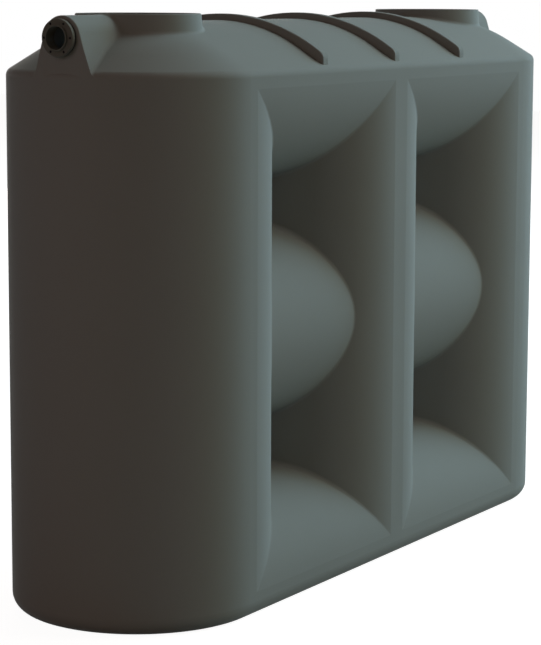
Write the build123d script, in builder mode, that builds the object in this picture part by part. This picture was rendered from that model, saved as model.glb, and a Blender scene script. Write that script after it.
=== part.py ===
from build123d import *
import math
import os

os.makedirs("parts", exist_ok=True)

# Slimline rainwater tank, in millimetres.
# X runs along the tank, Y from its front to its back and Z up.
# The origin is the centre of the flat base, and the overflow is at the -X end.

# Tank body
wall = 7.0
half_width = 450.0
straight_length = 2154.0
edge_height = 1872.0
base_radius = 60.0
edge_radius = 30.0

# Roof: straight flanks that run up into a round crown
roof_rise = 165.0
roof_flank_angle = 32.0

# Recessed bays, with a pillar of two round noses between neighbours
nose_gap = 26.0
nose_rise = 1.2
nose_stop_angle = 2.5
bay_flank_angle = 50.6
bay_depth = 329.2
bay_floor_radius = 92.0
bay_crease_radius = 18.0
bay_margin = 60.0

# Barrels across each bay: at the foot, half way up (the boss) and under the roof (the hood).
# Their radii are shares of the spacing of their centres.
barrel_overrun = 22.0
foot_barrel_height = 63.0
foot_barrel_share = 0.398
boss_barrel_share = 0.4226
boss_barrel_setback = 61.2
boss_barrel_drop = 6.0
hood_barrel_share = 0.4215
hood_barrel_drop = 25.0

# Roof ribs
rib_width = 38.0
rib_rise = 23.0
rib_end_rise = 50.0
rib_end_setback = 20.0
rib_end_radius = 38.0
rib_edge_chamfer = 3.0
rib_root_depth = 30.0

# Inlet collars, one on the axis of each round end
collar_rim_radius = 215.0
collar_draft = 5.0
collar_rise = 28.0
rim_edge_radius = 5.0
collar_trim = 60.0
seat_depth = 14.0
seat_width = 14.0

# Overflow housings, one at each end; the one at -X is cut out for the overflow
housing_setback = 6.0
housing_rim_drop = 3.5
housing_margin = 10.5
housing_flare = 17.0
housing_edge_radius = 5.0
housing_root_depth = 40.0
roof_blend_radius = 14.0

# Overflow flange, gasket and screws
overflow_bore_radius = 38.0
spigot_wall = 4.0
spigot_mouth_rise = 9.0
spigot_overrun = 6.0
flange_width = 20.0
flange_thickness = 14.0
flange_edge_chamfer = 2.0
mouth_chamfer = 1.0
gasket_inset = 2.0
gasket_thickness = 10.0
screw_count = 6
screw_shank_radius = 2.5
screw_head_radius = 4.3
screw_head_height = 4.0
screw_head_sink = 1.5
screw_socket_radius = 2.3
screw_socket_depth = 2.4
screw_overrun = 5.0
screw_tip_chamfer = 1.0

# Inlet strainers
lip_thickness = 4.0
basket_depth = 62.0
basket_wall = 3.0
basket_draft = 4.0
slot_count = 8
slot_width = 40.0
slot_height = 30.0
spoke_count = 8
spoke_width = 6.0
spoke_height = 6.0
hub_radius = 26.0
spoke_ring_radius = 105.0
rim_ring_width = 14.0
mesh_thickness = 1.2

# Outlet bush, moulded into the far end
outlet_height = 85.0
outlet_bore_radius = 15.2
outlet_bush_radius = 23.0
outlet_bush_length = 40.0
outlet_collar_radius = 28.0
outlet_collar_thickness = 6.0
outlet_pad_radius = 46.0
outlet_pad_proud = 5.0
outlet_pad_chamfer = 3.0
outlet_boss_wall = 9.0
outlet_chamfer = 1.5

# Fits between pieces
spigot_clearance = 0.5
screw_clearance = 0.3
lip_clearance = 2.0
basket_clearance = 3.0
mesh_clearance = 0.3

# Places and sizes that follow from the ones above
end_centre = straight_length / 2
bay_pitch = straight_length / 4
roof_crest = edge_height + roof_rise
rim_height = roof_crest + collar_rise
seat_height = rim_height - seat_depth
collar_bore_radius = collar_rim_radius - wall
seat_bore_radius = collar_bore_radius - seat_width
hood_barrel_height = edge_height - hood_barrel_drop
barrel_spacing = (hood_barrel_height - foot_barrel_height) / 2
boss_barrel_height = foot_barrel_height + barrel_spacing - boss_barrel_drop
rib_crest_height = roof_crest + rib_rise
rib_half_span = half_width - rib_end_setback
spigot_radius = overflow_bore_radius + spigot_wall
spigot_hole_radius = spigot_radius + spigot_clearance
flange_radius = spigot_radius + flange_width
gasket_radius = flange_radius - gasket_inset
screw_circle_radius = spigot_radius + flange_width / 2
screw_hole_radius = screw_shank_radius + screw_clearance
housing_arch_radius = flange_radius + housing_margin
bore_height = rim_height - housing_rim_drop - housing_arch_radius
housing_face_reach = half_width - housing_setback
housing_face = -end_centre - housing_face_reach
gasket_face = housing_face - gasket_thickness
flange_face = gasket_face - flange_thickness
spigot_mouth = flange_face - spigot_mouth_rise
outlet_face = end_centre + half_width + outlet_pad_proud


def half_section(inset):
    """Half of the tank's plain cross-section, from its middle to one side."""
    flank = math.radians(roof_flank_angle)
    crown_spread = half_width * math.tan(flank) - roof_rise
    crown_radius = crown_spread * math.cos(flank) / (1 - math.cos(flank))
    crown_centre = edge_height + roof_rise - crown_radius
    crown = crown_radius - inset
    corner_drop = inset * (1 - math.sin(flank)) / math.cos(flank)
    crown_top = (0, crown_centre + crown)
    crown_end = (crown * math.sin(flank), crown_centre + crown * math.cos(flank))
    base_corner = (half_width - inset, inset)
    edge_corner = (half_width - inset, edge_height - corner_drop)
    with BuildSketch() as section:
        with BuildLine():
            Polyline(crown_top, (0, inset), base_corner, edge_corner, crown_end)
            RadiusArc(crown_end, crown_top, -crown)
        make_face()
        fillet(section.vertices().sort_by_distance(base_corner)[0], base_radius - inset)
        fillet(section.vertices().sort_by_distance(edge_corner)[0], edge_radius - inset)
    return section.sketch


def bay_form(inset):
    """Hollow of one front bay: its plan shape, less what the barrels fill."""
    lean = math.radians(bay_flank_angle)
    half_span = bay_pitch - nose_gap / 2
    spread = half_span * math.sin(lean) - bay_depth * math.cos(lean)
    pillar_radius = spread / (1 - math.cos(lean)) - bay_floor_radius
    nose_tip = -half_width - nose_rise
    nose_y = nose_tip + pillar_radius
    floor_y = nose_tip + bay_depth - bay_floor_radius
    web = nose_tip + bay_depth + barrel_overrun
    outside = -half_width - bay_margin

    def nose(side):
        """Arc of the nose at one side of the bay, stopped short of its tip."""
        start = -90 - side * nose_stop_angle
        turn = side * (nose_stop_angle - bay_flank_angle)
        return CenterArc((side * half_span, nose_y), pillar_radius - inset, start, turn)

    def barrel(share, height, setback, from_web, to_web):
        """Arc of one barrel: each end is at the web, or stopped short of its nose."""
        radius = share * barrel_spacing
        centre_y = nose_tip + setback + radius
        web_turn = math.degrees(math.acos((centre_y - web) / (radius - inset)))
        start = web_turn if from_web else -nose_stop_angle
        finish = -web_turn if to_web else nose_stop_angle
        return CenterArc((centre_y, height), radius - inset, start - 180, finish - start)

    with BuildPart() as bay:
        with BuildSketch():
            with BuildLine():
                left_nose = nose(-1)
                right_nose = nose(1)
                bay_floor = CenterArc(
                    (0, floor_y), bay_floor_radius + inset,
                    90 + bay_flank_angle, -2 * bay_flank_angle
                )
                Line(left_nose @ 1, bay_floor @ 0)
                Line(bay_floor @ 1, right_nose @ 1)
                left = left_nose @ 0
                right = right_nose @ 0
                Polyline(right, (right.X, outside), (left.X, outside), left)
            make_face()
        extrude(amount=edge_height)
        with BuildSketch(Plane.YZ.offset(-bay_pitch)):
            with BuildLine():
                foot = barrel(foot_barrel_share, foot_barrel_height, 0, False, True)
                boss = barrel(
                    boss_barrel_share, boss_barrel_height, boss_barrel_setback, True, True
                )
                hood = barrel(hood_barrel_share, hood_barrel_height, 0, True, False)
                Line(foot @ 1, boss @ 0)
                Line(boss @ 1, hood @ 0)
                bottom = foot @ 0
                top = hood @ 1
                Polyline(top, (outside, top.Y), (outside, bottom.Y), bottom)
            make_face()
        extrude(amount=2 * bay_pitch, mode=Mode.INTERSECT)
        if inset == 0:
            fillet(bay.edges().filter_by(GeomType.LINE, reverse=True), bay_crease_radius)
    return bay.part


def rib_form(inset):
    """One rib across the roof, with an arc for its crest and rounded ends."""
    root = edge_height - rib_root_depth
    fall = rib_crest_height - edge_height - rib_end_rise
    rib_crest_radius = (rib_half_span ** 2 + fall ** 2) / (2 * fall)
    crest_radius = rib_crest_radius - inset
    with BuildPart() as rib:
        with BuildSketch(Plane.YZ.offset(inset - rib_width / 2)) as profile:
            with Locations((0, rib_crest_height - rib_crest_radius)):
                Circle(crest_radius)
            with Locations((0, root)):
                Rectangle(
                    2 * (rib_half_span - inset), 2 * crest_radius,
                    align=(Align.CENTER, Align.MIN), mode=Mode.INTERSECT,
                )
            fillet(profile.vertices().group_by(Axis.Y)[-1], rib_end_radius - inset)
        extrude(amount=rib_width - 2 * inset)
        if inset == 0:
            rim = rib.edges().filter_by(Axis.X, reverse=True).sort_by(Axis.Z)[2:]
            chamfer(rim, rib_edge_chamfer)
    return rib.part


def collar_radius(height):
    """Outer radius of a collar at a height: it is drafted from its rim down."""
    return collar_rim_radius + (rim_height - height) * math.tan(math.radians(collar_draft))


def collar_form(inset):
    """One inlet collar about the Z axis, from inside the roof to above its rim."""
    root = edge_height
    top = rim_height + collar_trim
    with BuildPart() as collar:
        with BuildSketch(Plane.XZ):
            with BuildLine():
                Polyline(
                    (0, root), (collar_radius(root) - inset, root),
                    (collar_radius(top) - inset, top), (0, top), close=True,
                )
            make_face()
        revolve(axis=Axis.Z)
    return collar.part


def housing_half_width(height):
    """Half of a housing's width at a height on its flared sides."""
    flare = math.radians(housing_flare)
    spring_height = bore_height + housing_arch_radius * math.sin(flare)
    return housing_arch_radius * math.cos(flare) + (spring_height - height) * math.tan(flare)


def housing_form(inset):
    """The -X overflow housing: a flared arch, run back to the axis of its collar."""
    flare = math.radians(housing_flare)
    arch = housing_arch_radius - inset
    root = edge_height - housing_root_depth
    spring = (arch * math.cos(flare), bore_height + arch * math.sin(flare))
    root_half = spring[0] + (spring[1] - root) * math.tan(flare)
    with BuildPart() as housing:
        with BuildSketch(Plane.YZ.offset(housing_face + inset)):
            with BuildLine():
                CenterArc((0, bore_height), arch, housing_flare, 180 - 2 * housing_flare)
                Polyline(
                    (-spring[0], spring[1]), (-root_half, root), (root_half, root), spring
                )
            make_face()
        extrude(amount=housing_face_reach - inset)
        if inset == 0:
            face_edges = housing.faces().sort_by(Axis.X)[0].edges()
            fillet(face_edges.sort_by(Axis.Z)[1:], housing_edge_radius)
        with BuildSketch(Plane.XY.offset(root)):
            with Locations((-end_centre, 0)):
                Circle(half_width - inset)
        extrude(amount=rim_height - root, mode=Mode.INTERSECT)
    return housing.part


def roof_form(inset):
    """The plain tank with its ribs, collars and housings, before the bays are cut."""
    section = half_section(inset)
    housing = housing_form(inset)
    collar = collar_form(inset)
    rib = rib_form(inset)
    with BuildPart() as form:
        with BuildSketch(Plane.YZ.offset(-end_centre)):
            add(section)
            mirror(about=Plane.YZ)
        extrude(amount=straight_length)
        for end in (-1, 1):
            end_plane = Plane(
                origin=(end * end_centre, 0, 0), x_dir=(0, -end, 0), z_dir=(-end, 0, 0)
            )
            with BuildSketch(end_plane):
                add(section)
            revolve(axis=Axis((end * end_centre, 0, 0), (0, 0, 1)), revolution_arc=180)
        add(housing)
        add(housing, rotation=(0, 0, 180))
        with Locations((-end_centre, 0, 0), (end_centre, 0, 0)):
            add(collar)
        with Locations((-bay_pitch, 0, 0), (0, 0, 0), (bay_pitch, 0, 0)):
            add(rib)
    return form.part


def meets_collar(edge):
    """Whether an edge lies on the side of a collar."""
    place = edge @ 0.5
    reach = math.hypot(abs(place.X) - end_centre, place.Y)
    return place.Z < rim_height and abs(reach - collar_radius(place.Z)) < 0.1


def joins_housing(edge):
    """Whether an edge is where the side of a housing meets the roof."""
    place = edge @ 0.5
    on_side = abs(abs(place.Y) - housing_half_width(place.Z)) < 0.1
    inside_face = abs(place.X) < abs(housing_face) - housing_edge_radius
    on_roof = edge_height + edge_radius < place.Z < bore_height and edge.geom_type != GeomType.LINE
    return on_side and inside_face and on_roof


def cut_bays(bay):
    """Cut the four bays, two in the front and two in the back, into the open part."""
    for place in (-bay_pitch, bay_pitch):
        for turn in (0, 180):
            with Locations((place, 0, 0)):
                add(bay, rotation=(0, 0, turn), mode=Mode.SUBTRACT)


outside_form = roof_form(0)
hollow_form = roof_form(wall)
outside_bay = bay_form(0)
hollow_bay = bay_form(wall)

with BuildPart() as hollow:
    add(hollow_form)
    cut_bays(hollow_bay)

with BuildPart() as tank_shell:
    add(outside_form)
    blends = tank_shell.edges().filter_by(lambda e: meets_collar(e) or joins_housing(e))
    fillet(blends, roof_blend_radius)
    with BuildSketch(Plane.XY.offset(rim_height)):
        with Locations((-end_centre, 0), (end_centre, 0)):
            Circle(half_width)
    extrude(amount=collar_trim, mode=Mode.SUBTRACT)
    fillet(tank_shell.faces().group_by(Axis.Z)[-1].edges(), rim_edge_radius)
    cut_bays(outside_bay)
    add(hollow.part, mode=Mode.SUBTRACT)
    with BuildSketch(Plane.XY.offset(seat_height - wall)):
        with Locations((-end_centre, 0), (end_centre, 0)):
            Circle(collar_bore_radius + wall / 2)
            Circle(seat_bore_radius, mode=Mode.SUBTRACT)
    extrude(amount=wall)
    with BuildSketch(Plane.YZ.offset(housing_face)):
        with Locations((0, bore_height)):
            Circle(spigot_hole_radius)
            with PolarLocations(screw_circle_radius, screw_count):
                Circle(screw_hole_radius)
    extrude(amount=wall, mode=Mode.SUBTRACT)
    with BuildSketch(Plane.YZ.offset(outlet_face)) as pad:
        with Locations((0, outlet_height)):
            Circle(outlet_pad_radius)
    extrude(amount=-outlet_pad_proud - wall)
    chamfer(tank_shell.faces().sort_by(Axis.X)[-1].edges(), outlet_pad_chamfer)
    with BuildSketch(Plane.YZ.offset(outlet_face)):
        with Locations((0, outlet_height)):
            Circle(outlet_bush_radius + outlet_boss_wall)
    extrude(amount=-outlet_bush_length)
    with BuildSketch(Plane.YZ.offset(outlet_face)):
        with Locations((0, outlet_height)):
            Circle(outlet_collar_radius)
    extrude(amount=-outlet_collar_thickness, mode=Mode.SUBTRACT)
    with BuildSketch(Plane.YZ.offset(outlet_face)):
        with Locations((0, outlet_height)):
            Circle(outlet_bush_radius)
    extrude(amount=-outlet_bush_length, mode=Mode.SUBTRACT)
tank_shell.part.label = "tank_shell"
export_step(tank_shell.part, "parts/tank_shell.step")


with BuildPart() as overflow_flange:
    with BuildSketch(Plane.YZ.offset(flange_face)):
        with Locations((0, bore_height)):
            Circle(flange_radius)
    extrude(amount=flange_thickness)
    chamfer(overflow_flange.faces().sort_by(Axis.X)[0].edges(), flange_edge_chamfer)
    with BuildSketch(Plane.YZ.offset(spigot_mouth)):
        with Locations((0, bore_height)):
            Circle(spigot_radius)
    extrude(amount=housing_face + wall + spigot_overrun - spigot_mouth)
    with BuildSketch(Plane.YZ.offset(spigot_mouth)):
        with Locations((0, bore_height)):
            Circle(overflow_bore_radius)
            with PolarLocations(screw_circle_radius, screw_count):
                Circle(screw_hole_radius)
    extrude(until=Until.LAST, mode=Mode.SUBTRACT)
    with BuildSketch(Plane.YZ.offset(flange_face)):
        with Locations((0, bore_height)):
            with PolarLocations(screw_circle_radius, screw_count):
                Circle(screw_head_radius + screw_clearance)
    extrude(amount=screw_head_sink + screw_head_height, mode=Mode.SUBTRACT)
    chamfer(overflow_flange.faces().sort_by(Axis.X)[0].edges(), mouth_chamfer)
overflow_flange.part.label = "overflow_flange"
export_step(overflow_flange.part, "parts/overflow_flange.step")


with BuildPart() as overflow_gasket:
    with BuildSketch(Plane.YZ.offset(gasket_face)):
        with Locations((0, bore_height)):
            Circle(gasket_radius)
            Circle(spigot_hole_radius, mode=Mode.SUBTRACT)
            with PolarLocations(screw_circle_radius, screw_count):
                Circle(screw_hole_radius, mode=Mode.SUBTRACT)
    extrude(amount=gasket_thickness)
overflow_gasket.part.label = "overflow_gasket"
export_step(overflow_gasket.part, "parts/overflow_gasket.step")


with BuildPart() as overflow_screws:
    head_seat = flange_face + screw_head_sink + screw_head_height
    with BuildSketch(Plane.YZ.offset(flange_face + screw_head_sink)):
        with Locations((0, bore_height)):
            with PolarLocations(screw_circle_radius, screw_count):
                Circle(screw_head_radius)
    extrude(amount=screw_head_height)
    with BuildSketch(Plane.YZ.offset(head_seat)):
        with Locations((0, bore_height)):
            with PolarLocations(screw_circle_radius, screw_count):
                Circle(screw_shank_radius)
    extrude(amount=housing_face + wall + screw_overrun - head_seat)
    chamfer(overflow_screws.faces().group_by(Axis.X)[-1].edges(), screw_tip_chamfer)
    with BuildSketch(Plane.YZ.offset(flange_face + screw_head_sink)):
        with Locations((0, bore_height)):
            with PolarLocations(screw_circle_radius, screw_count):
                RegularPolygon(screw_socket_radius, 6)
    extrude(amount=screw_socket_depth, mode=Mode.SUBTRACT)
overflow_screws.part.label = "overflow_screws"
export_step(overflow_screws.part, "parts/overflow_screws.step")


def basket_radius(depth):
    """Outer radius of a strainer's basket at a depth below its lip."""
    draft = depth * math.tan(math.radians(basket_draft))
    return seat_bore_radius - basket_clearance - draft


def strainer_form():
    """Moulded strainer about the Z axis: a lip, a slotted basket and a spoked floor."""
    floor = basket_depth - spoke_height
    inner_top = basket_radius(0) - basket_wall
    inner_floor = basket_radius(floor) - basket_wall
    lip_radius = collar_bore_radius - lip_clearance
    with BuildPart() as strainer:
        with BuildSketch(Plane.XZ):
            with BuildLine():
                Polyline(
                    (inner_top, lip_thickness), (lip_radius, lip_thickness), (lip_radius, 0),
                    (basket_radius(0), 0), (basket_radius(basket_depth), -basket_depth),
                    (inner_floor - rim_ring_width, -basket_depth),
                    (inner_floor - rim_ring_width, -floor),
                    (inner_floor, -floor), close=True,
                )
            make_face()
        revolve(axis=Axis.Z)
        with BuildSketch(Plane.XY.offset(-basket_depth)):
            Circle(spoke_ring_radius + spoke_width / 2)
            Circle(spoke_ring_radius - spoke_width / 2, mode=Mode.SUBTRACT)
            Circle(hub_radius)
            with PolarLocations(0, spoke_count):
                Rectangle(
                    inner_floor - rim_ring_width / 2, spoke_width,
                    align=(Align.MIN, Align.CENTER),
                )
        extrude(amount=spoke_height)
        with Locations((0, 0, -floor / 2)):
            with PolarLocations(inner_top, slot_count):
                Box(4 * basket_wall, slot_width, slot_height, mode=Mode.SUBTRACT)
    return strainer.part


def mesh_form():
    """Disc of woven wire, cut to lie on the spokes of a strainer."""
    floor = basket_depth - spoke_height
    inner_floor = basket_radius(floor) - basket_wall
    with BuildPart() as mesh:
        with BuildSketch(Plane.XY.offset(-floor)):
            Circle(inner_floor - mesh_clearance)
        extrude(amount=mesh_thickness)
    return mesh.part


strainer = strainer_form()
mesh = mesh_form()

with BuildPart() as overflow_end_strainer:
    with Locations((-end_centre, 0, seat_height)):
        add(strainer)
overflow_end_strainer.part.label = "overflow_end_strainer"
export_step(overflow_end_strainer.part, "parts/overflow_end_strainer.step")


with BuildPart() as outlet_end_strainer:
    with Locations((end_centre, 0, seat_height)):
        add(strainer)
outlet_end_strainer.part.label = "outlet_end_strainer"
export_step(outlet_end_strainer.part, "parts/outlet_end_strainer.step")


with BuildPart() as overflow_end_mesh:
    with Locations((-end_centre, 0, seat_height)):
        add(mesh)
overflow_end_mesh.part.label = "overflow_end_mesh"
export_step(overflow_end_mesh.part, "parts/overflow_end_mesh.step")


with BuildPart() as outlet_end_mesh:
    with Locations((end_centre, 0, seat_height)):
        add(mesh)
outlet_end_mesh.part.label = "outlet_end_mesh"
export_step(outlet_end_mesh.part, "parts/outlet_end_mesh.step")


with BuildPart() as outlet_bush:
    with BuildSketch(Plane.YZ.offset(outlet_face)):
        with Locations((0, outlet_height)):
            Circle(outlet_collar_radius)
    extrude(amount=-outlet_collar_thickness)
    with BuildSketch(Plane.YZ.offset(outlet_face)):
        with Locations((0, outlet_height)):
            Circle(outlet_bush_radius)
    extrude(amount=-outlet_bush_length)
    with BuildSketch(Plane.YZ.offset(outlet_face)):
        with Locations((0, outlet_height)):
            Circle(outlet_bore_radius)
    extrude(amount=-outlet_bush_length, mode=Mode.SUBTRACT)
    mouth_edges = outlet_bush.edges().filter_by(GeomType.CIRCLE).sort_by(SortBy.RADIUS)[:2]
    chamfer(mouth_edges, outlet_chamfer)
outlet_bush.part.label = "outlet_bush"
export_step(outlet_bush.part, "parts/outlet_bush.step")
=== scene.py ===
"""Slimline water tank: its finishes, fine fittings, light and camera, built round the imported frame."""

import logging
import math
from dataclasses import dataclass
from enum import Enum

import bpy
from mathutils import Matrix, Vector


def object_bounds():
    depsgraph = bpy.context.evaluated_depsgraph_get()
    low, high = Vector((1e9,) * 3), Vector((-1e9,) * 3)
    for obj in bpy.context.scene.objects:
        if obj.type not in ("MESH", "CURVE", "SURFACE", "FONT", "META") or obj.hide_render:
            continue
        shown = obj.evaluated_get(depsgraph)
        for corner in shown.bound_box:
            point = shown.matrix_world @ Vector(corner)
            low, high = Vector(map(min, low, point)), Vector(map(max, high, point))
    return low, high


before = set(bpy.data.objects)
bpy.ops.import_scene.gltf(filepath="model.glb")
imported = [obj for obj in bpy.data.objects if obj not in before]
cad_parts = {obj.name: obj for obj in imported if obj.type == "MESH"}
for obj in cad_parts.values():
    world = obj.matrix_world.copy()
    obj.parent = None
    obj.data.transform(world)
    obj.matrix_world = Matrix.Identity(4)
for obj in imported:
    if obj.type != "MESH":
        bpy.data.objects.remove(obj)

LOG = logging.getLogger("water_tank")
CAD_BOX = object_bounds()
WHITE = (1.0, 1.0, 1.0, 1.0)


class Ray(Enum):
    """Kinds of ray that see the plain white background."""

    CAMERA = "Is Camera Ray"
    GLOSSY = "Is Glossy Ray"
    TRANSMISSION = "Is Transmission Ray"


class Surface(Enum):
    """How a material's fine relief is made."""

    MOULDED = "moulded"
    WOVEN = "woven"
    TURNED = "turned"


def node_of(tree: bpy.types.NodeTree, kind: str, **sockets: object) -> bpy.types.Node:
    """Add a node to a tree and fill in its sockets.

    Args:
        tree: the tree that gets the node.
        kind: the node's Blender type.
        sockets: values for input sockets, with a space in a name written as _.

    Returns:
        The new node.
    """
    made = tree.nodes.new(kind)
    for name, value in sockets.items():
        made.inputs[name.replace("_", " ")].default_value = value
    return made


def join(tree: bpy.types.NodeTree, source: bpy.types.NodeSocket, target: bpy.types.NodeSocket) -> None:
    """Link one socket of a tree to another."""
    tree.links.new(source, target)


def calc(tree: bpy.types.NodeTree, operation: str, *values: object) -> bpy.types.NodeSocket:
    """Add a Math node to a tree.

    Args:
        tree: the tree that gets the node.
        operation: the node's operation.
        values: a socket or a number for each of its inputs.

    Returns:
        The socket with the result.
    """
    made = tree.nodes.new("ShaderNodeMath")
    made.operation = operation
    for socket, value in zip(made.inputs, values):
        if isinstance(value, bpy.types.NodeSocket):
            join(tree, value, socket)
        else:
            socket.default_value = value
    return made.outputs[0]


class Effect:
    """A shared node group whose outputs vary over a surface."""

    name: str = "effect"
    inputs: dict[str, object] = {}
    outputs: dict[str, str] = {}

    def __init__(self) -> None:
        """Build the group once, with its inputs, outputs and nodes."""
        self.tree = bpy.data.node_groups.new(self.name, "ShaderNodeTree")
        face = self.tree.interface
        for label, value in self.inputs.items():
            kind = "NodeSocketFloat" if isinstance(value, float) else "NodeSocketColor"
            face.new_socket(label, in_out="INPUT", socket_type=kind).default_value = value
        for label, kind in self.outputs.items():
            face.new_socket(label, in_out="OUTPUT", socket_type=kind)
        self.start = self.tree.nodes.new("NodeGroupInput")
        self.end = self.tree.nodes.new("NodeGroupOutput")
        self.place = self.tree.nodes.new("ShaderNodeTexCoord").outputs["Object"]
        self.wire()
        LOG.info("built the node group %s", self.name)

    def wire(self) -> None:
        """Add and link the nodes of the group."""
        raise NotImplementedError

    def given(self, label: str) -> bpy.types.NodeSocket:
        """Return the value given for an input."""
        return self.start.outputs[label]

    def give(self, label: str, value: bpy.types.NodeSocket) -> None:
        """Send a value to an output."""
        join(self.tree, value, self.end.inputs[label])

    def calc(self, operation: str, *values: object) -> bpy.types.NodeSocket:
        """Add a Math node to the group and return its result."""
        return calc(self.tree, operation, *values)

    def axes(self) -> tuple[bpy.types.NodeSocket, ...]:
        """Split the place of the surface point into its coordinates.

        Returns:
            The sockets with X, Y and Z, in metres.
        """
        split = self.tree.nodes.new("ShaderNodeSeparateXYZ")
        join(self.tree, self.place, split.inputs[0])
        return tuple(split.outputs)

    def noise(self, scale: bpy.types.NodeSocket, detail: float) -> bpy.types.NodeSocket:
        """Add noise to the group.

        Args:
            scale: the socket with the noise's scale.
            detail: how many finer layers the noise has.

        Returns:
            The socket with the noise, from about -0.5 to 0.5.
        """
        made = node_of(self.tree, "ShaderNodeTexNoise", Detail=detail, Roughness=0.55)
        join(self.tree, self.place, made.inputs["Vector"])
        join(self.tree, scale, made.inputs["Scale"])
        return self.calc("SUBTRACT", made.outputs["Fac"], 0.5)

    def tinted(self, colour: bpy.types.NodeSocket, gain: bpy.types.NodeSocket) -> bpy.types.NodeSocket:
        """Make a colour lighter or darker.

        Args:
            colour: the socket with the colour.
            gain: the socket with the factor.

        Returns:
            The socket with the new colour.
        """
        tint = self.tree.nodes.new("ShaderNodeVectorMath")
        tint.operation = "SCALE"
        join(self.tree, colour, tint.inputs[0])
        join(self.tree, gain, tint.inputs["Scale"])
        return tint.outputs["Vector"]


class MouldedGrain(Effect):
    """Faint clouds and fine grain of a moulded wall."""

    name = "moulded_grain"
    inputs = {
        "Base": (0.5, 0.5, 0.5, 1.0), "Cloud Size": 3.0, "Cloud Depth": 0.05,
        "Grain Size": 700.0, "Roughness": 0.5,
    }
    outputs = {"Colour": "NodeSocketColor", "Roughness": "NodeSocketFloat", "Height": "NodeSocketFloat"}

    def wire(self) -> None:
        """Clouds change the colour and roughness, and grain gives the relief."""
        cloud = self.calc("MULTIPLY", self.noise(self.given("Cloud Size"), 3.0), self.given("Cloud Depth"))
        grain = self.noise(self.given("Grain Size"), 2.0)
        gain = self.calc("ADD", cloud, 1.0)
        gain = self.calc("MULTIPLY_ADD", grain, self.given("Cloud Depth"), gain)
        self.give("Colour", self.tinted(self.given("Base"), gain))
        self.give("Roughness", self.calc("ADD", cloud, self.given("Roughness")))
        self.give("Height", grain)


class WovenWire(Effect):
    """Plain-woven wire in the XY plane: where there is wire, and how it rises and dips."""

    name = "woven_wire"
    inputs = {"Pitch": 0.002, "Thickness": 0.28}
    outputs = {"Mask": "NodeSocketFloat", "Height": "NodeSocketFloat"}

    def wire(self) -> None:
        """The wires of the two directions pass over and under each other in turn."""
        x, y, _ = self.axes()
        masks, heights = [], []
        for across, along, turn in ((x, y, 1.0), (y, x, -1.0)):
            across = self.calc("DIVIDE", across, self.given("Pitch"))
            along = self.calc("DIVIDE", along, self.given("Pitch"))
            offset = self.calc("ABSOLUTE", self.calc("SUBTRACT", self.calc("FRACT", across), 0.5))
            share = self.calc("DIVIDE", offset, self.calc("MULTIPLY", self.given("Thickness"), 0.5))
            mask = self.calc("LESS_THAN", share, 1.0)
            phase = self.calc("ADD", along, self.calc("FLOOR", across))
            wave = self.calc("MULTIPLY", self.calc("SINE", self.calc("MULTIPLY", phase, math.pi)), turn)
            crown = self.calc("SUBTRACT", 1.0, self.calc("MULTIPLY", share, share))
            height = self.calc("ADD", crown, self.calc("ADD", wave, 1.0))
            masks.append(mask)
            heights.append(self.calc("MULTIPLY", mask, height))
        self.give("Mask", self.calc("MAXIMUM", *masks))
        self.give("Height", self.calc("MAXIMUM", *heights))


class TurnedBush(Effect):
    """Fine turned rings about an axis along X, and a thread where the radius is small, with painted shade
    darkening the thread's grooves.
    """

    name = "turned_bush"
    ring_depth = 0.02
    groove_painted_shade = 0.6
    inputs = {
        "Base": (0.5, 0.5, 0.5, 1.0), "Axis Height": 0.0, "Thread Radius": 0.0,
        "Thread Pitch": 0.0023, "Ring Size": 0.0006,
    }
    outputs = {"Colour": "NodeSocketColor", "Height": "NodeSocketFloat"}

    def wire(self) -> None:
        """The thread is a helix of vees, and the rings follow the radius. The colour is darkened in the
        thread's grooves as painted shade.
        """
        x, y, z = self.axes()
        z = self.calc("SUBTRACT", z, self.given("Axis Height"))
        radius = self.calc("SQRT", self.calc("ADD", self.calc("MULTIPLY", y, y), self.calc("MULTIPLY", z, z)))
        inside = self.calc("LESS_THAN", radius, self.given("Thread Radius"))
        turn = self.calc("DIVIDE", self.calc("ARCTAN2", z, y), 2.0 * math.pi)
        phase = self.calc("FRACT", self.calc("ADD", self.calc("DIVIDE", x, self.given("Thread Pitch")), turn))
        vee = self.calc("MULTIPLY", self.calc("ABSOLUTE", self.calc("SUBTRACT", phase, 0.5)), 2.0)
        groove = self.calc("MULTIPLY", vee, inside)
        ring = self.calc("SINE", self.calc("DIVIDE", radius, self.given("Ring Size")))
        outside = self.calc("SUBTRACT", 1.0, inside)
        fine = self.calc("MULTIPLY", self.calc("MULTIPLY", ring, self.ring_depth), outside)
        # painted shade: the colour is made darker the deeper the thread groove
        gain = self.calc("SUBTRACT", 1.0, self.calc("MULTIPLY", groove, self.groove_painted_shade))
        self.give("Colour", self.tinted(self.given("Base"), gain))
        self.give("Height", self.calc("SUBTRACT", fine, groove))


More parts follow.
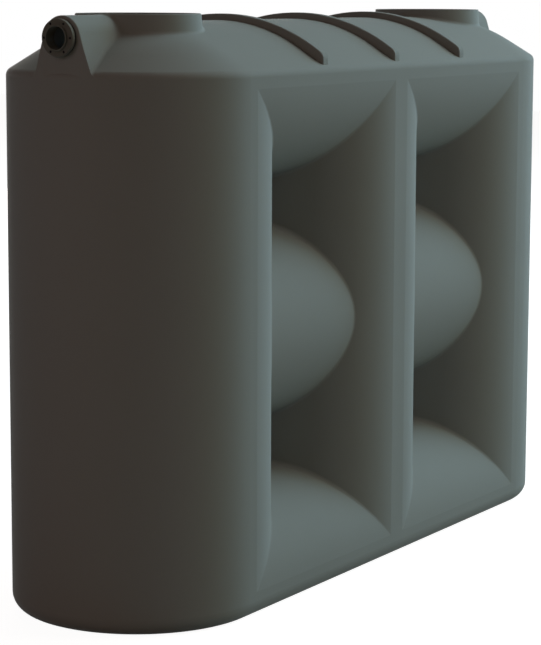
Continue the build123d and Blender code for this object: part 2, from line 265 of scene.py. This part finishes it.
@dataclass(frozen=True)
class Finish:
    """A finish of one of the tank's materials."""

    name: str
    surface: Surface
    colour: tuple
    roughness: float
    specular: float = 0.5
    metallic: float = 0.0
    relief: float = 0.0002
    relief_strength: float = 0.6
    settings: tuple = ()

    def build(self, effects: dict[Surface, Effect]) -> bpy.types.Material:
        """Make the material.

        Args:
            effects: the shared node group for each kind of surface.

        Returns:
            The new material.
        """
        made = bpy.data.materials.new(self.name)
        made.use_nodes = True
        tree = made.node_tree
        shader = tree.nodes["Principled BSDF"]
        shader.inputs["Base Color"].default_value = (*self.colour, 1.0)
        shader.inputs["Roughness"].default_value = self.roughness
        shader.inputs["Metallic"].default_value = self.metallic
        shader.inputs["Specular IOR Level"].default_value = self.specular
        effect = tree.nodes.new("ShaderNodeGroup")
        effect.node_tree = effects[self.surface].tree
        for label, value in (("Base", (*self.colour, 1.0)), ("Roughness", self.roughness), *self.settings):
            if label in effect.inputs:
                effect.inputs[label].default_value = value
        for label, target in (("Colour", "Base Color"), ("Roughness", "Roughness"), ("Mask", "Alpha")):
            if label in effect.outputs:
                join(tree, effect.outputs[label], shader.inputs[target])
        bump = node_of(tree, "ShaderNodeBump", Distance=self.relief, Strength=self.relief_strength)
        join(tree, effect.outputs["Height"], bump.inputs["Height"])
        join(tree, bump.outputs["Normal"], shader.inputs["Normal"])
        LOG.info("made the finish %s", self.name)
        return made


@dataclass(frozen=True)
class SubAssembly:
    """CAD nodes that belong together, and the finish of each."""

    name: str
    finishes: tuple[tuple[str, Finish], ...]

    def dress(self, materials: dict[Finish, bpy.types.Material]) -> None:
        """Give the CAD nodes their finishes.

        Args:
            materials: the material made for each finish.
        """
        for node, finish in self.finishes:
            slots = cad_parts[node].data.materials
            slots.clear()
            slots.append(materials[finish])
            LOG.info("%s: dressed %s with %s", self.name, node, finish.name)


@dataclass
class PhotoCamera:
    """Camera at the photograph's place, turn and lens."""

    place: tuple = (-7.613, -4.439, 2.150)
    heading: float = 0.5391
    dip: float = 0.1444
    roll: float = 0.0036
    focal_px: float = 2297.866
    frame_height_px: int = 645
    sensor_mm: float = 36.0
    far_limit: float = 200.0

    def build(self) -> bpy.types.Object:
        """Make the camera and set it as the scene's.

        Returns:
            The camera object.
        """
        ahead = Vector((
            math.cos(self.heading) * math.cos(self.dip),
            math.sin(self.heading) * math.cos(self.dip),
            -math.sin(self.dip),
        ))
        level = Vector((math.sin(self.heading), -math.cos(self.heading), 0.0))
        above = level.cross(ahead)
        right = math.cos(self.roll) * level + math.sin(self.roll) * above
        up = math.cos(self.roll) * above - math.sin(self.roll) * level
        data = bpy.data.cameras.new("photo_camera")
        data.sensor_width = self.sensor_mm
        data.lens = self.focal_px * self.sensor_mm / self.frame_height_px
        data.clip_end = self.far_limit
        camera = bpy.data.objects.new("photo_camera", data)
        turn = Matrix((right, up, -ahead)).transposed().to_4x4()
        camera.matrix_world = Matrix.Translation(self.place) @ turn
        bpy.context.scene.collection.objects.link(camera)
        bpy.context.scene.camera = camera
        LOG.info("placed the camera")
        return camera


@dataclass(frozen=True)
class SoftLamp:
    """One large soft lamp that looks at the tank."""

    name: str
    bearing: float
    height: float
    power: float
    colour: tuple
    reach: float = 16.0
    width: float = 9.0

    def build(self, target: Vector) -> bpy.types.Object:
        """Make the lamp.

        Args:
            target: the point that the lamp faces.

        Returns:
            The lamp object.
        """
        data = bpy.data.lights.new(self.name, "AREA")
        data.shape = "DISK"
        data.size = self.width
        data.energy = self.power
        data.color = self.colour
        bearing, height = math.radians(self.bearing), math.radians(self.height)
        away = Vector((
            math.cos(bearing) * math.cos(height),
            math.sin(bearing) * math.cos(height),
            math.sin(height),
        ))
        lamp = bpy.data.objects.new(self.name, data)
        lamp.location = target + self.reach * away
        lamp.rotation_euler = away.to_track_quat("Z", "Y").to_euler()
        bpy.context.scene.collection.objects.link(lamp)
        LOG.info("placed %s", self.name)
        return lamp


LAMPS = (
    SoftLamp("high_key_lamp", -20.0, 50.0, 1330.0, (0.82, 1.0, 0.98)),
    SoftLamp("key_lamp", -20.0, 20.0, 1040.0, (0.29, 0.65, 1.0)),
    SoftLamp("low_key_lamp", -20.0, 3.0, 930.0, (0.63, 0.82, 1.0)),
    SoftLamp("low_side_lamp", -40.0, 5.0, 420.0, (0.84, 1.0, 0.4)),
    SoftLamp("side_lamp", -60.0, 30.0, 640.0, (1.0, 0.86, 0.79)),
    SoftLamp("near_lamp", -150.0, 3.0, 114.0, (1.0, 0.56, 0.15)),
    SoftLamp("end_lamp", 170.0, 20.0, 256.0, (1.0, 0.7, 0.72)),
    SoftLamp("back_lamp", 46.0, 8.0, 850.0, (1.0, 0.88, 0.8)),
)


@dataclass
class Studio:
    """Pale floor, white surround and soft lamps."""

    floor_size: float = 60.0
    floor_tone: float = 0.3
    floor_glow: float = 0.95
    surround: tuple = (0.046, 0.0288, 0.0132)

    def build(self) -> None:
        """Make the floor, the world and the lamps."""
        self._floor()
        self._world()
        low, high = CAD_BOX
        target = (Vector(low) + Vector(high)) / 2
        for lamp in LAMPS:
            lamp.build(target)

    def _seen(self, tree: bpy.types.NodeTree) -> bpy.types.NodeSocket:
        """Add nodes that give 1 to the rays that see the background, and 0 to others.

        Args:
            tree: the tree that gets the nodes.

        Returns:
            The socket with the value.
        """
        path = tree.nodes.new("ShaderNodeLightPath")
        return calc(tree, "MAXIMUM", *(path.outputs[ray.value] for ray in Ray))

    def _floor(self) -> None:
        """Make the pale floor under the tank."""
        bpy.ops.object.select_all(action="DESELECT")
        bpy.ops.mesh.primitive_plane_add(size=self.floor_size, location=(0.0, 0.0, 0.0))
        floor = bpy.context.object
        floor.name = "studio_floor"
        made = bpy.data.materials.new("studio_floor")
        made.use_nodes = True
        tree = made.node_tree
        shader = tree.nodes["Principled BSDF"]
        shader.inputs["Base Color"].default_value = (*(self.floor_tone,) * 3, 1.0)
        shader.inputs["Roughness"].default_value = 1.0
        shader.inputs["Specular IOR Level"].default_value = 0.0
        shader.inputs["Emission Color"].default_value = WHITE
        glow = calc(tree, "MULTIPLY", self._seen(tree), self.floor_glow)
        join(tree, glow, shader.inputs["Emission Strength"])
        floor.data.materials.append(made)
        LOG.info("laid the floor")

    def _world(self) -> None:
        """Make the surround: white where it is seen, and dim where it lights."""
        world = bpy.data.worlds.new("studio")
        world.use_nodes = True
        tree = world.node_tree
        mix = tree.nodes.new("ShaderNodeMix")
        mix.data_type = "RGBA"
        join(tree, self._seen(tree), mix.inputs["Factor"])
        mix.inputs["A"].default_value = (*self.surround, 1.0)
        mix.inputs["B"].default_value = WHITE
        join(tree, mix.outputs["Result"], tree.nodes["Background"].inputs["Color"])
        bpy.context.scene.world = world


TANK_PLASTIC = Finish(
    "tank_plastic", Surface.MOULDED, (0.186, 0.204, 0.2), 0.72, specular=0.03,
    settings=(("Cloud Size", 2.2), ("Cloud Depth", 0.08), ("Grain Size", 420.0)),
)
FLANGE_PLASTIC = Finish("flange_plastic", Surface.MOULDED, (0.085, 0.087, 0.075), 0.65, specular=0.08)
GASKET_RUBBER = Finish("gasket_rubber", Surface.MOULDED, (0.016, 0.016, 0.016), 0.8, specular=0.06)
STRAINER_PLASTIC = Finish("strainer_plastic", Surface.MOULDED, (0.02, 0.02, 0.021), 0.45, specular=0.2)
# Near-black screw heads: blackened steel, made darker still as painted shade of the counterbores they sit in.
SHADED_SCREW_STEEL = Finish(
    "screw_steel", Surface.TURNED, (0.006, 0.006, 0.007), 0.6, specular=0.05,
    settings=(("Axis Height", 1.989),),
)
BUSH_BRASS = Finish(
    "bush_brass", Surface.TURNED, (0.78, 0.57, 0.27), 0.28, metallic=1.0, relief=0.001,
    settings=(("Axis Height", 0.085), ("Thread Radius", 0.0156), ("Thread Pitch", 0.002309)),
)
MESH_STEEL = Finish("mesh_steel", Surface.WOVEN, (0.5, 0.5, 0.49), 0.35, metallic=1.0)


SUB_ASSEMBLIES = (
    SubAssembly("tank", (("tank_shell", TANK_PLASTIC),)),
    SubAssembly("overflow", (
        ("overflow_flange", FLANGE_PLASTIC),
        ("overflow_gasket", GASKET_RUBBER),
        ("overflow_screws", SHADED_SCREW_STEEL),
    )),
    SubAssembly("overflow end inlet", (
        ("overflow_end_strainer", STRAINER_PLASTIC),
        ("overflow_end_mesh", MESH_STEEL),
    )),
    SubAssembly("outlet end inlet", (
        ("outlet_end_strainer", STRAINER_PLASTIC),
        ("outlet_end_mesh", MESH_STEEL),
    )),
    SubAssembly("outlet", (("outlet_bush", BUSH_BRASS),)),
)


def main() -> None:
    """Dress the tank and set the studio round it."""
    logging.basicConfig(level=logging.INFO, format="%(name)s: %(message)s")
    effects = {
        Surface.MOULDED: MouldedGrain(), Surface.WOVEN: WovenWire(), Surface.TURNED: TurnedBush(),
    }
    materials = {
        finish: finish.build(effects)
        for finish in (
            TANK_PLASTIC, FLANGE_PLASTIC, GASKET_RUBBER, SHADED_SCREW_STEEL,
            STRAINER_PLASTIC, MESH_STEEL, BUSH_BRASS,
        )
    }
    for sub_assembly in SUB_ASSEMBLIES:
        sub_assembly.dress(materials)
    Studio().build()
    PhotoCamera().build()
    bpy.context.scene.view_settings.view_transform = "Standard"


if __name__ == "__main__":
    main()
